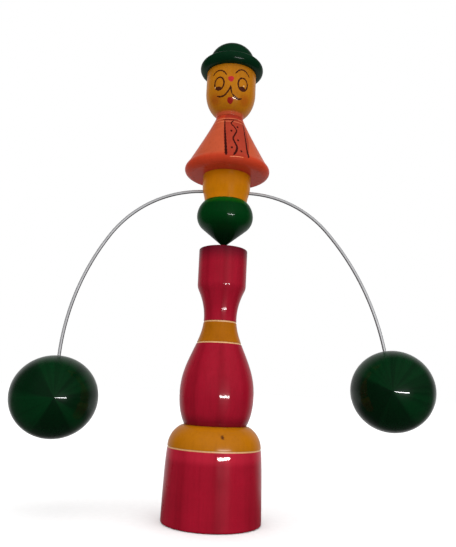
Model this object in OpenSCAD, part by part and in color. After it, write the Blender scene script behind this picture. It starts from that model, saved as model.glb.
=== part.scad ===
// Balancing doll: a lacquered doll with a pointed foot stands on a turned stand.
// A bent wire through its waist carries two wooden balls that hang below the foot.
// Millimetres, +Z up, face towards -Y, arms along X. Origin: middle of the base, on the table.

/* [Stand] */
// Diameter of the base at the table
base_d = 47.6; // [42:0.2:54]
// Diameter of the base at the pale line
base_line_d = 45.2; // [40:0.2:50]
// Height of the pale line round the base
base_line_h = 34; // [28:0.2:40]
// Height of the yellow shoulder above that line
shoulder_t = 10.6; // [8:0.2:13]
// Diameter of the bulb of the column
bulb_d = 36.4; // [32:0.2:42]
// Height of the widest part of the bulb above the base
bulb_rise = 13.9; // [11:0.1:17]
// Diameter of the neck of the column
neck_d = 16.4; // [14:0.2:20]
// Height of the narrowest part of the neck above the widest part of the bulb
neck_rise = 38; // [32:0.2:44]
// Height of the flare from the neck to the drum
flare_t = 15.5; // [12:0.1:19]
// Height of the drum under the figure
drum_t = 20; // [16:0.2:24]
// Diameter of the drum
drum_d = 24.7; // [22:0.1:28]
// Width of the yellow band on the neck, between its pale lines
band_w = 10.6; // [8:0.1:13]
// Drop of the upper pale line below the narrowest part of the neck
band_drop = 1.9; // [1:0.1:3]
// Diameter of the dowel between base and column
stand_dowel_d = 10; // [6:0.5:12]
// Length of that dowel in each of the two pieces
stand_dowel_depth = 20; // [10:1:26]

/* [Pivot] */
// Diameter of the steel ball in the tip of the foot
pivot_ball_d = 2; // [1.7:0.1:2.2]
// Depth of the dimple in the seat
dimple_depth = 0.25; // [0.15:0.05:0.4]
// Diameter of the seat in the top of the column
seat_d = 8; // [5:0.5:12]
// Thickness of the seat
seat_t = 2.5; // [1.5:0.1:4]

/* [Figure] */
// Diameter of the foot
foot_d = 29.1; // [26:0.1:32]
// Height of the widest part of the foot above the top of the stand
foot_wide_h = 17.6; // [16:0.1:20]
// Height of the foot above its widest part
foot_top_t = 7.8; // [6.5:0.1:9]
// Half angle of the pointed end of the foot, from its axis
foot_angle = 50; // [46:0.5:55]
// Diameter of the waist at its lower end
waist_low_d = 22.1; // [20:0.1:24]
// Diameter of the waist under the tunic
waist_d = 25; // [22:0.1:28]
// Height of the waist
waist_t = 14.2; // [12:0.1:17]
// Diameter of the rim of the tunic
tunic_d = 44.6; // [40:0.2:50]
// Height of the tunic
tunic_t = 32.4; // [29:0.2:36]
// Diameter of the neck of the tunic
collar_d = 14.6; // [13:0.1:17]
// Diameter of the head
head_d = 26.7; // [24:0.1:30]
// Height of the chin, up to where it is as wide as the head
chin_t = 15; // [13:0.1:17]
// Height of the face between chin and hat
face_t = 10.9; // [9.5:0.1:12.5]
// Diameter of the brim of the hat
brim_d = 34.1; // [31:0.1:37]
// Height of the brim
brim_t = 6.3; // [5.5:0.1:7.5]
// Diameter of the dome of the hat
dome_d = 25.4; // [22:0.2:26.4]
// Height of the dome above the brim
dome_t = 11.2; // [10:0.1:13]
// Diameter of the dowel through the waist
body_dowel_d = 8; // [6:0.5:9]
// Length of that dowel in the foot and in the tunic
body_dowel_depth = 13; // [8:0.5:15]
// Diameter of the dowel in the neck
neck_dowel_d = 6; // [4:0.5:8]
// Length of that dowel in the tunic and in the head
neck_dowel_depth = 13; // [8:0.5:15]
// Diameter of the dowel in the hat
hat_dowel_d = 8; // [5:0.5:10]
// Length of that dowel in the head and in the hat
hat_dowel_depth = 9.5; // [7:0.5:11]

/* [Wire and balls] */
// Diameter of the wire
wire_d = 1.63; // [1.4:0.01:2]
// Height of the wire above the foot
wire_rise = 5.8; // [4.5:0.1:8]
// Radius of the first bend of the left arm
left_bend_r = 57.5; // [52:0.1:63]
// Turn of the first bend of the left arm
left_bend_angle = 56.4; // [53:0.1:60]
// Radius of the second bend of the left arm
left_far_r = 121.1; // [108:0.1:133]
// Turn of the second bend of the left arm
left_far_angle = 32.2; // [29:0.1:34]
// Radius of the first bend of the right arm
right_bend_r = 55.7; // [50:0.1:61]
// Turn of the first bend of the right arm
right_bend_angle = 48.9; // [46:0.1:52]
// Radius of the second bend of the right arm
right_far_r = 131.9; // [119:0.1:145]
// Turn of the second bend of the right arm
right_far_angle = 30; // [27:0.1:32]
// Width of the left ball
left_ball_d = 42.6; // [38:0.1:46]
// Height of the left ball along its wire
left_ball_t = 40.2; // [37:0.1:44]
// Width of the right ball
right_ball_d = 41; // [37:0.1:45]
// Height of the right ball along its wire
right_ball_t = 39.8; // [36:0.1:44]

/* [Fits] */
// Gap left for glue round each dowel and the wire
glue_gap = 0.05; // [0.03:0.01:0.1]
// Gap round the pivot ball and the seat
running_gap = 0.05; // [0.02:0.01:0.1]
// Gap left at the ends of each dowel
end_gap = 0.5; // [0.3:0.1:1]
// Width of each pale line
line_w = 0.8; // [0.6:0.05:1.2]
// Depth of each pale line
line_t = 0.2; // [0.1:0.05:0.4]

/* [Hidden] */
$fn = 96;

lac_red = [0.60, 0.10, 0.17];
lac_yellow = [0.72, 0.44, 0.07];
lac_green = [0.03, 0.20, 0.09];
lac_orange = [0.76, 0.33, 0.20];
bare_wood = [0.85, 0.68, 0.46];
steel = [0.72, 0.72, 0.74];
brass = [0.78, 0.62, 0.30];

// Heights of the stand above the table
base_h = base_line_h + shoulder_t;
bulb_h = base_h + bulb_rise;
neck_h = bulb_h + neck_rise;
drum_h = neck_h + flare_t;
stand_h = drum_h + drum_t;
upper_line_h = neck_h - band_drop;
lower_line_h = upper_line_h - band_w;

base_r = base_d / 2;
base_line_r = base_line_d / 2;
base_edge = 0.6;
bulb_r = bulb_d / 2;
neck_r = neck_d / 2;
drum_r = drum_d / 2;
drum_edge = 0.8;
drum_flare = 0.1;
// Share of the sweep between bulb and neck that lies above its middle
neck_lean = 1.15;
shoulder_core = 0.47 * base_line_r;
shoulder_rise = 1.11 * shoulder_t;
shoulder_end = asin(shoulder_t / shoulder_rise);
bulb_core = 0.44 * bulb_r;
bulb_fall = 1.4 * bulb_rise;
bulb_end = asin(bulb_rise / bulb_fall);

pivot_ball_r = pivot_ball_d / 2;
// Radius of the hollows that the ball turns in
ball_hollow_r = pivot_ball_r + running_gap;
// Height of the middle of the ball above the top of the stand
pivot_rise = ball_hollow_r - dimple_depth;

// Heights of the figure above the top of the stand
foot_h = foot_wide_h + foot_top_t;
waist_h = foot_h + waist_t;
rim_low = 3;
tunic_wide_h = waist_h + rim_low;
tunic_h = waist_h + tunic_t;
cheek_h = tunic_h + chin_t;
brim_low_h = cheek_h + face_t;
brim_top_h = brim_low_h + brim_t;
head_h = brim_low_h + 0.52 * brim_t;
hat_h = brim_top_h + dome_t;
wire_h = foot_h + wire_rise;

foot_r = foot_d / 2;
foot_round = 0.57 * foot_r;
nib_r = pivot_ball_r + 0.25;
nib_low = pivot_rise + pivot_ball_r / 2;
cone_end_r = foot_r - foot_round * (1 - cos(foot_angle));
cone_end_h = foot_wide_h - foot_round * sin(foot_angle);
nib_h = cone_end_h - (cone_end_r - nib_r) / tan(foot_angle);
foot_shoulder = 0.62 * foot_r;
foot_shoulder_rise = 1.256 * foot_top_t;
foot_shoulder_end = asin(foot_top_t / foot_shoulder_rise);
waist_mid_h = foot_h + 0.6 * waist_t;

tunic_r = tunic_d / 2;
rim_w = 3.7;
rim_high = 3.4;
// Angle of the rim where the skirt starts
rim_end = 50;
skirt_low_r = tunic_r - rim_w + rim_w * cos(rim_end);
skirt_low_h = tunic_wide_h + rim_high * sin(rim_end);
collar_r = collar_d / 2;
collar_edge = 1.2;

head_r = head_d / 2;
chin_core = 0.25 * head_r;
chin_fall = 0.945 * chin_t;
chin_end = acos((collar_r + 0.2 - chin_core) / (head_r - chin_core));

brim_r = brim_d / 2;
brim_w = 3;
brim_mid_h = (brim_low_h + brim_top_h) / 2;
brim_mid_r = brim_r - brim_w;
dome_r = min(dome_d / 2, brim_mid_r - 0.8);
// The dome starts inside the brim
dome_low_h = brim_top_h - 1.7;

// Half of the straight stretch of the wire, which ends inside the waist
wire_straight = waist_d / 2 - 1.5;
// Length of wire that is bent inside each ball
wire_in = 1.2;
left_tail = left_ball_t / 2 - wire_in;
right_tail = right_ball_t / 2 - wire_in;
// The straight stretches inside waist and balls are thinner and start inside the bends
wire_core_d = wire_d - 0.16;
wire_lap = 1;

body_dowel_low = foot_h - body_dowel_depth;
body_dowel_high = waist_h + body_dowel_depth;
neck_dowel_low = tunic_h - neck_dowel_depth;
neck_dowel_high = tunic_h + neck_dowel_depth;
hat_dowel_low = head_h - hat_dowel_depth;
hat_dowel_high = head_h + hat_dowel_depth;

// Fractions from 0 to 1 in n steps
function parts(n) = [for (i = [0:n]) i / n];

// A list without its first point, to follow on from another curve
function rest(list) = [for (i = [1:len(list) - 1]) list[i]];

// Part of an oval about (x, z), from angle a to angle b
function oval(x, z, rx, rz, a, b, n = 14) =
    [for (t = parts(n)) [x + rx * cos(a + (b - a) * t), z + rz * sin(a + (b - a) * t)]];

// Share of an S-shaped sweep that is done at fraction t
function eased(t, lean) = (1 - cos(180 * pow(t, lean))) / 2;

// S-shaped sweep from radius r0 at height z0 to radius r1 at height z1
function sweep(r0, z0, r1, z1, lean = 1, n = 24) =
    [for (t = parts(n)) [r0 + (r1 - r0) * eased(t, lean), z0 + (z1 - z0) * t]];

// Curve that starts upright at (r0, z0) and bends more and more towards (r1, z1)
function cove(r0, z0, r1, z1, n = 12) =
    [for (t = parts(n)) [r0 + (r1 - r0) * t * t, z0 + (z1 - z0) * t]];

// Radius of the column at height z, between bulb and neck
function neck_sweep_r(z) =
    bulb_r + (neck_r - bulb_r) * eased((z - bulb_h) / (neck_h - bulb_h), neck_lean);

// Middle of the ball on an arm, as [reach, drop] from the middle of the wire
function arm_end(bend_r, turn, far_r, far_turn, tail) =
    let (far = turn + far_turn)
    [
        wire_straight + bend_r * sin(turn) + far_r * (sin(far) - sin(turn)) + tail * cos(far),
        bend_r * (1 - cos(turn)) + far_r * (cos(turn) - cos(far)) + tail * sin(far)
    ];

// Solid turned from an outline of [radius, height] points, from its lower to its upper end
module turned(outline) {
    last = len(outline) - 1;
    rotate_extrude()
        polygon(concat([[0, outline[0][1]]], outline, [[0, outline[last][1]]]));
}

// Ring that scribes a pale line into a turned piece at height z
// The radius of the piece is given at both edges of the line
module scribed_line(low_r, high_r, z) {
    low = z - line_w / 2;
    high = z + line_w / 2;
    rotate_extrude()
        polygon([[low_r - line_t, low], [low_r + 1, low], [high_r + 1, high], [high_r - line_t, high]]);
}

// Pale line on the sweep between bulb and neck
module neck_line(z) {
    scribed_line(neck_sweep_r(z - line_w / 2), neck_sweep_r(z + line_w / 2), z);
}

// Bore for a dowel between two heights
module dowel_bore(d, low, high) {
    translate([0, 0, low])
        cylinder(d = d + 2 * glue_gap, h = high - low);
}

// Dowel with chamfered ends, short of its bores at both ends
module dowel(d, low, high) {
    edge = d / 12;
    turned([
        [d / 2 - edge, low + end_gap],
        [d / 2, low + end_gap + edge],
        [d / 2, high - end_gap - edge],
        [d / 2 - edge, high - end_gap]
    ]);
}

// Everything that stands on the stand, with heights from its top
module on_stand() {
    translate([0, 0, stand_h])
        children();
}

// Puts its children where the wire has reached (x, z) with slope a
module at_bend(x, z, a) {
    translate([x, 0, z])
        rotate([0, a, 0])
            children();
}

// Stretch of the wire that starts along +X and bends down by turn
module bent_wire(bend_r, turn) {
    translate([0, 0, -bend_r])
        rotate([-90, -90, 0])
            rotate_extrude(angle = turn)
                translate([bend_r, 0])
                    circle(d = wire_d);
}

// One arm of the wire, from its straight middle to the middle of its ball
module wire_arm(bend_r, turn, far_r, far_turn, tail) {
    end = arm_end(bend_r, turn, far_r, far_turn, tail);
    at_bend(wire_straight + bend_r * sin(turn), -bend_r * (1 - cos(turn)), turn) {
        mirror([1, 0, 0])
            bent_wire(bend_r, turn);
        bent_wire(far_r, far_turn);
    }
    at_bend(end[0], -end[1], turn + far_turn)
        rotate([0, -90, 0])
            cylinder(d = wire_core_d, h = tail + wire_lap);
}

// Slightly flat ball with a bore for the end of the wire, which comes in at the given slope
module drilled_ball(d, t, slope) {
    rotate([0, slope - 90, 0])
        difference() {
            scale([1, 1, t / d])
                sphere(d = d);
            translate([0, 0, -end_gap])
                cylinder(d = wire_d + 2 * glue_gap, h = t);
        }
}

// Outline of the wall of the base, which leans in and rounds over towards the pale line
function base_wall() =
    [for (t = parts(20))
        [
            base_r + (base_line_r - base_r) * (t + pow(t, 5)) / 2,
            base_edge + (base_line_h - base_edge) * t
        ]];

module stand_base() {
    color(lac_red)
        difference() {
            turned(concat(
                oval(base_r - base_edge, base_edge, base_edge, base_edge, -90, 0, 5),
                rest(base_wall()),
                rest(oval(shoulder_core, base_line_h, base_line_r - shoulder_core, shoulder_rise,
                    0, shoulder_end))
            ));
            scribed_line(base_line_r, base_line_r, base_line_h);
            dowel_bore(stand_dowel_d, base_h - stand_dowel_depth, base_h + 1);
        }
}

module stand_column() {
    color(lac_red)
        difference() {
            turned(concat(
                oval(bulb_core, bulb_h, bulb_r - bulb_core, bulb_fall, -bulb_end, 0),
                rest(sweep(bulb_r, bulb_h, neck_r, neck_h, neck_lean)),
                rest(cove(neck_r, neck_h, drum_r - drum_flare, drum_h)),
                oval(drum_r - drum_edge, stand_h - drum_edge, drum_edge, drum_edge, 0, 90, 5)
            ));
            neck_line(upper_line_h);
            neck_line(lower_line_h);
            dowel_bore(stand_dowel_d, base_h - 1, base_h + stand_dowel_depth);
            translate([0, 0, stand_h - seat_t - running_gap])
                cylinder(d = seat_d + 2 * running_gap, h = seat_t + 1);
        }
}

module stand_dowel() {
    color(bare_wood)
        dowel(stand_dowel_d, base_h - stand_dowel_depth, base_h + stand_dowel_depth);
}

module pivot_seat() {
    color(brass)
        on_stand()
            difference() {
                translate([0, 0, -seat_t])
                    cylinder(d = seat_d, h = seat_t);
                translate([0, 0, pivot_rise])
                    sphere(r = ball_hollow_r);
            }
}

module pivot_ball() {
    color(steel)
        on_stand()
            translate([0, 0, pivot_rise])
                sphere(r = pivot_ball_r);
}

module foot() {
    color(lac_green)
        on_stand()
            difference() {
                turned(concat(
                    [[nib_r, nib_low], [nib_r, nib_h]],
                    oval(foot_r - foot_round, foot_wide_h, foot_round, foot_round, -foot_angle, 0),
                    rest(oval(foot_r - foot_shoulder, foot_wide_h, foot_shoulder, foot_shoulder_rise,
                        0, foot_shoulder_end))
                ));
                translate([0, 0, pivot_rise])
                    sphere(r = ball_hollow_r);
                dowel_bore(body_dowel_d, body_dowel_low, foot_h + 1);
            }
}

module waist() {
    color(lac_yellow)
        on_stand()
            difference() {
                turned(concat(
                    sweep(waist_low_d / 2, foot_h, waist_d / 2, waist_mid_h, 1, 12),
                    [[waist_d / 2, waist_h]]
                ));
                dowel_bore(body_dowel_d, foot_h - 1, waist_h + 1);
                wire_bore();
            }
}

// Hole for the wire across the waist and its dowel
module wire_bore() {
    translate([-waist_d, 0, wire_h])
        rotate([0, 90, 0])
            cylinder(d = wire_d + 2 * glue_gap, h = 2 * waist_d);
}

module tunic() {
    color(lac_orange)
        on_stand()
            difference() {
                turned(concat(
                    oval(tunic_r - rim_w, tunic_wide_h, rim_w, rim_low, -90, 0, 10),
                    rest(oval(tunic_r - rim_w, tunic_wide_h, rim_w, rim_high, 0, rim_end, 8)),
                    rest(skirt()),
                    [[collar_r, tunic_h - 0.4], [collar_r - 0.4, tunic_h]]
                ));
                dowel_bore(body_dowel_d, waist_h - 1, body_dowel_high);
                dowel_bore(neck_dowel_d, neck_dowel_low, tunic_h + 1);
            }
}

// Outline of the skirt from the rim to the collar, a little hollow
function skirt() =
    [for (t = parts(16))
        [
            collar_r + 0.4 + (skirt_low_r - collar_r - 0.4) * pow(1 - t, 1.08),
            skirt_low_h + (tunic_h - collar_edge - skirt_low_h) * t
        ]];

module head() {
    color(lac_yellow)
        on_stand()
            difference() {
                turned(concat(
                    [[collar_r - 0.4, tunic_h], [collar_r - 0.1, tunic_h + 0.4]],
                    oval(chin_core, cheek_h, head_r - chin_core, chin_fall, -chin_end, 0, 18),
                    [[head_r, head_h - 0.6], [head_r - 0.6, head_h]]
                ));
                dowel_bore(neck_dowel_d, tunic_h - 1, neck_dowel_high);
                dowel_bore(hat_dowel_d, hat_dowel_low, head_h + 1);
            }
}

// Outline of the dome from the brim to the top, a little fuller than an oval
function dome() =
    [for (t = parts(16))
        [
            dome_r * pow(cos(5 + 83 * t), 0.885),
            dome_low_h + (hat_h - dome_low_h) * pow(sin(5 + 83 * t), 0.885)
        ]];

module hat() {
    color(lac_green)
        on_stand()
            difference() {
                turned(concat(
                    oval(brim_mid_r, brim_mid_h, brim_w, brim_t / 2, -90, 100, 24),
                    dome()
                ));
                translate([0, 0, brim_low_h - 1])
                    cylinder(d = head_d + 2 * glue_gap, h = head_h - brim_low_h + 1);
                dowel_bore(hat_dowel_d, head_h - 1, hat_dowel_high);
            }
}

module body_dowel() {
    color(bare_wood)
        on_stand()
            difference() {
                dowel(body_dowel_d, body_dowel_low, body_dowel_high);
                wire_bore();
            }
}

module neck_dowel() {
    color(bare_wood)
        on_stand()
            dowel(neck_dowel_d, neck_dowel_low, neck_dowel_high);
}

module hat_dowel() {
    color(bare_wood)
        on_stand()
            dowel(hat_dowel_d, hat_dowel_low, hat_dowel_high);
}

module arm_wire() {
    core_half = wire_straight + wire_lap;
    color(steel)
        on_stand()
            translate([0, 0, wire_h])
                union() {
                    translate([-core_half, 0, 0])
                        rotate([0, 90, 0])
                            cylinder(d = wire_core_d, h = 2 * core_half);
                    wire_arm(right_bend_r, right_bend_angle, right_far_r, right_far_angle, right_tail);
                    mirror([1, 0, 0])
                        wire_arm(left_bend_r, left_bend_angle, left_far_r, left_far_angle, left_tail);
                }
}

module right_ball() {
    end = arm_end(right_bend_r, right_bend_angle, right_far_r, right_far_angle, right_tail);
    color(lac_green)
        on_stand()
            translate([end[0], 0, wire_h - end[1]])
                drilled_ball(right_ball_d, right_ball_t, right_bend_angle + right_far_angle);
}

module left_ball() {
    end = arm_end(left_bend_r, left_bend_angle, left_far_r, left_far_angle, left_tail);
    color(lac_green)
        on_stand()
            translate([-end[0], 0, wire_h - end[1]])
                mirror([1, 0, 0])
                    drilled_ball(left_ball_d, left_ball_t, left_bend_angle + left_far_angle);
}

stand_base();
stand_column();
stand_dowel();
pivot_seat();
pivot_ball();
foot();
waist();
tunic();
head();
hat();
body_dowel();
neck_dowel();
hat_dowel();
arm_wire();
left_ball();
right_ball();
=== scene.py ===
"""Looks of the balancing doll: turned and lacquered wood, painted face, bent steel wire, studio stage."""

import heapq
import math

import bpy
import numpy as np
from mathutils import Matrix, Vector


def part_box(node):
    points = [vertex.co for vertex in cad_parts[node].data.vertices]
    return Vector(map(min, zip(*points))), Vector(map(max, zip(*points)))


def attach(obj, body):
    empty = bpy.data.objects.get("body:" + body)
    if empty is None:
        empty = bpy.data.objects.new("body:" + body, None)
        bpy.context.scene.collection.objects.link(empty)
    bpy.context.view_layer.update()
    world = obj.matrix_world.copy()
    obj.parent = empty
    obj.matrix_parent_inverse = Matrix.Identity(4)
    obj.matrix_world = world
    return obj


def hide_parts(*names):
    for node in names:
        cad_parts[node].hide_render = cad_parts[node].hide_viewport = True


bl_info = {
    "name": "Balancing doll",
    "version": (1, 0, 0),
    "blender": (4, 5, 0),
    "location": "View3D > Sidebar > Doll",
    "description": "Builds a lacquered balancing doll on its turned stand",
    "category": "Object",
}

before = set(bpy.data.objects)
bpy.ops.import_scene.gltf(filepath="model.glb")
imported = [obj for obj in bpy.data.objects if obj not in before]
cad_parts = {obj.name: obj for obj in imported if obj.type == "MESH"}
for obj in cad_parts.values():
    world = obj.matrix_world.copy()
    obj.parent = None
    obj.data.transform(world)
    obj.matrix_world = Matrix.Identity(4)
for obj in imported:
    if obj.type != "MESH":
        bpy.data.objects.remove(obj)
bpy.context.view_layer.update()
STAND_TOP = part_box("stand_column")[1].z
MM = 0.001


def tint(red, green, blue):
    """Linear colour of a swatch given as 0-255 display values."""
    shares = [value / 255 for value in (red, green, blue)]
    return tuple(s / 12.92 if s <= 0.04045 else ((s + 0.055) / 1.055) ** 2.4 for s in shares)


def colour_prop(name, description, swatch):
    return bpy.props.FloatVectorProperty(
        name=name, description=description, size=3, subtype="COLOR", min=0, max=1, default=tint(*swatch)
    )


def length_prop(name, description, millimetres):
    return bpy.props.FloatProperty(
        name=name, description=description, unit="LENGTH", default=millimetres * MM
    )


def number_prop(name, description, value):
    return bpy.props.FloatProperty(name=name, description=description, default=value)


def angle_prop(name, description, degrees):
    return bpy.props.FloatProperty(
        name=name, description=description, subtype="ANGLE", default=math.radians(degrees)
    )


class DollColours(bpy.types.PropertyGroup):
    """Colours of the lac, the paint and the metal, and of the painted light, shade and reflections on them.
    """

    red_lac: colour_prop("Red lac", "Stand base, bulb and drum", (156, 19, 41))
    # Painted light: the base just under its pale line, lighter where it faces up
    base_painted_light: colour_prop("Bright red", "Base just under its pale line", (178, 30, 52))
    # Painted shade: the bulb darker on its underside just above the base
    bulb_painted_shade: colour_prop("Deep red", "Bulb just above the base", (130, 14, 33))
    # Darker towards the upper edge of the drum
    drum_top_darker: colour_prop("Drum edge", "Upper edge of the drum", (88, 13, 30))
    yellow_lac: colour_prop("Yellow lac", "Shoulder of the base", (176, 106, 6))
    band_lac: colour_prop("Band lac", "Band round the neck of the column", (164, 95, 4))
    waist_lac: colour_prop("Waist lac", "Waist", (200, 121, 4))
    face_lac: colour_prop("Face lac", "Head above the chin", (184, 114, 14))
    cheek_lac: colour_prop("Cheek lac", "Soft red of the cheeks", (168, 76, 14))
    foot_lac: colour_prop("Foot lac", "Pointed foot", (0, 52, 15))
    # Painted light: the foot lighter just under the waist, where it faces up
    foot_painted_light: colour_prop("Foot top", "Foot just under the waist", (2, 80, 14))
    # Painted shade: the foot darker towards its lower end
    foot_painted_shade: colour_prop("Foot low", "Lower end of the foot", (0, 32, 11))
    hat_lac: colour_prop("Hat lac", "Hat", (4, 40, 20))
    ball_lac: colour_prop("Ball lac", "Both balls", (2, 42, 16))
    orange_lac: colour_prop("Orange lac", "Tunic", (187, 82, 51))
    rim_lac: colour_prop("Rim lac", "Rim of the tunic", (186, 60, 34))
    # Painted reflection of the tunic and painted shade on the neck under the chin
    neck_painted_reflection: colour_prop("Neck lac", "Neck under the chin", (188, 78, 46))
    panel_lac: colour_prop("Front panel", "Painted panel down the tunic", (156, 48, 36))
    pale_lac: colour_prop("Pale rings", "Two worn rings round the collar", (226, 128, 88))
    pale_wood: colour_prop("Pale wood", "Scribed lines and bare wood", (232, 178, 118))
    line_paint: colour_prop("Line paint", "Painted lines on the tunic", (52, 8, 5))
    face_paint: colour_prop("Face paint", "Painted lines on the face", (66, 26, 8))
    dab_paint: colour_prop("Dab paint", "Forehead dot", (174, 38, 44))
    mouth_paint: colour_prop("Mouth paint", "Mouth", (142, 22, 14))
    # Painted highlight: steel lightened along the front and back of the wire
    wire_steel: colour_prop("Wire", "Front and back of the wire", (184, 184, 186))
    # Painted shade along the upper and lower sides of the wire
    wire_painted_shade: colour_prop("Wire side", "Darker sides of the wire", (46, 46, 50))
    steel: colour_prop("Steel", "Pivot ball", (176, 176, 178))
    brass: colour_prop("Brass", "Pivot seat", (196, 158, 84))


class DollSizes(bpy.types.PropertyGroup):
    """Sizes of the turned pieces and the wire."""

    outline_step: length_prop("Outline step", "Longest step along a turned outline", 0.8)
    edge_round: length_prop("Edge round", "Round worn onto each sharp edge", 0.14)
    base_line: length_prop("Base line", "Height of the pale line round the base", 34)
    upper_line: length_prop("Upper line", "Height of the upper pale line on the neck", 94.6)
    lower_line: length_prop("Lower line", "Height of the lower pale line on the neck", 84)
    line_width: length_prop("Line width", "Width of each pale line", 0.62)
    wire_width: length_prop("Wire", "Diameter of the wire", 1.63)
    left_bend: length_prop("Left bend", "Radius of the first bend of the left arm", 57.5)
    left_turn: angle_prop("Left turn", "Turn of the first bend of the left arm", 56.4)
    left_far_bend: length_prop("Left far bend", "Radius of the second bend of the left arm", 121.1)
    left_far_turn: angle_prop("Left far turn", "Turn of the second bend of the left arm", 32.2)
    right_bend: length_prop("Right bend", "Radius of the first bend of the right arm", 55.7)
    right_turn: angle_prop("Right turn", "Turn of the first bend of the right arm", 48.9)
    right_far_bend: length_prop("Right far bend", "Radius of the second bend of the right arm", 131.9)
    right_far_turn: angle_prop("Right far turn", "Turn of the second bend of the right arm", 30)
    left_ball_tall: length_prop("Left ball", "Height of the left ball along its wire", 40.2)
    right_ball_tall: length_prop("Right ball", "Height of the right ball along its wire", 39.8)
    running_gap: length_prop("Running gap", "Gap round the pivot ball and its seat", 0.05)
    pip_height: length_prop("Pip", "Height of the turning pip on each ball", 0.25)
    pip_width: length_prop("Pip width", "Radius of the turning pip on each ball", 5)
    ball_turn: angle_prop("Ball turn", "Turn of each ball's pip towards the middle", 15.6)
    corner_round: length_prop("Corner round", "Round worn onto each blunt corner", 1.5)


class DollPaint(bpy.types.PropertyGroup):
    """Places and sizes of the painted face and front panel. Heights are above the stand."""

    paint_height: length_prop("Paint height", "How far the paint stands out", 0.05)
    eye_turn: angle_prop("Eye turn", "Turn of each eye from the middle of the face", 28)
    eye_height: length_prop("Eye height", "Height of the eyes", 86.9)
    eye_wide: length_prop("Eye width", "Half width of an eye", 2.75)
    eye_tall: length_prop("Eye tall", "Half height of an eye", 3.5)
    face_line: length_prop("Face line", "Width of the lines on the face", 0.95)
    dot_height: length_prop("Dot height", "Height of the forehead dot", 89.1)
    mouth_height: length_prop("Mouth height", "Height of the mouth", 78)
    dab_size: length_prop("Dab size", "Radius of forehead dot and mouth", 1.65)
    panel_line: length_prop("Panel line", "Width of the lines on the tunic", 1.0)


class DollStage(bpy.types.PropertyGroup):
    """Camera and light."""

    lens: number_prop("Lens", "Focal length in millimetres", 38.83)
    camera_side: length_prop("Camera side", "Camera's place along X", 2.9)
    camera_back: length_prop("Camera back", "Camera's distance in front of the stand", 296)
    camera_height: length_prop("Camera height", "Camera's height above the table", 61.5)
    camera_tilt: angle_prop("Camera tilt", "How far the camera looks up", 11.17)
    camera_roll: angle_prop("Camera roll", "Turn of the camera about its view", 2.6)
    sky: number_prop("Sky", "Soft light from all round", 0.7)
    sun: number_prop("Sun", "Soft light from above the camera", 1.95)
    fill: number_prop("Fill", "Soft light from behind", 0.6)
    sun_spread: angle_prop("Sun spread", "How wide the light of sun and fill is", 100)
    bar_power: number_prop("Bar power", "Watts of the lamp that gives the highlights", 1.3)
    bar_wide: length_prop("Bar width", "Width of the lamp that gives the highlights", 200)
    bar_tall: length_prop("Bar height", "Height of the lamp that gives the highlights", 11)


def colours():
    return bpy.context.scene.doll_colours


def sizes():
    return bpy.context.scene.doll_sizes


def paint():
    return bpy.context.scene.doll_paint


# Outlines of turned pieces

LEAST_CORNER, SHARP_CORNER = math.radians(19), math.radians(40)
ROUND_SHARE, HANDLE, UNEVEN = 0.4, 2 / 3, 2.5
SPECK = 1e-6


def ring_graph(node):
    """Rings of vertices of a turned CAD node as [radius, height], and the rings that edges join."""
    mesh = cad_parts[node].data
    cell = 5e-6
    rings, cells, ring_of = [], {}, []
    for vertex in mesh.vertices:
        place = (math.hypot(vertex.co.x, vertex.co.y), vertex.co.z)
        spot = tuple(round(x / cell) for x in place)
        near = [(spot[0] + i, spot[1] + j) for i in (0, -1, 1) for j in (0, -1, 1)]
        found = next((cells[n] for n in near if n in cells), None)
        if found is None:
            found = cells[spot] = len(rings)
            rings.append(place)
        ring_of.append(found)
    joined = [set() for _ in rings]
    for edge in mesh.edges:
        a, b = (ring_of[v] for v in edge.vertices)
        if a != b:
            joined[a].add(b)
            joined[b].add(a)
    return rings, joined


def shortest(rings, joined, start, goal):
    """Shortest way along joined rings from start to goal."""
    queue = [(0.0, start, None)]
    came = {}
    while queue:
        gone, ring, last = heapq.heappop(queue)
        if ring in came:
            continue
        came[ring] = last
        if ring == goal:
            break
        for other in joined[ring]:
            if other not in came:
                heapq.heappush(queue, (gone + math.dist(rings[ring], rings[other]), other, ring))
    way = [goal]
    while way[-1] != start:
        way.append(came[way[-1]])
    return way[::-1]


def outer_outline(node):
    """Outer outline of a turned CAD node, from its lower to its upper end, as [radius, height] points."""
    rings, joined = ring_graph(node)
    heights = [z for _, z in rings]
    ends = []
    for level in (min(heights), max(heights)):
        there = [i for i, z in enumerate(heights) if abs(z - level) < SPECK]
        ends.append(max(there, key=lambda i: rings[i][0]))
    return np.array([rings[i] for i in shortest(rings, joined, *ends)])


def directions(points):
    steps = np.diff(points, axis=0)
    lengths = np.linalg.norm(steps, axis=1)
    return steps / lengths[:, None], lengths


def followed(line):
    """Smooth direction at each point of a line, and the length gone up to there."""
    ways, lengths = directions(line)
    ways = np.vstack([ways[:1], (ways[1:] + ways[:-1]) / 2, ways[-1:]])
    ways /= np.linalg.norm(ways, axis=1)[:, None]
    return ways, np.concatenate([[0], np.cumsum(lengths)])


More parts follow.
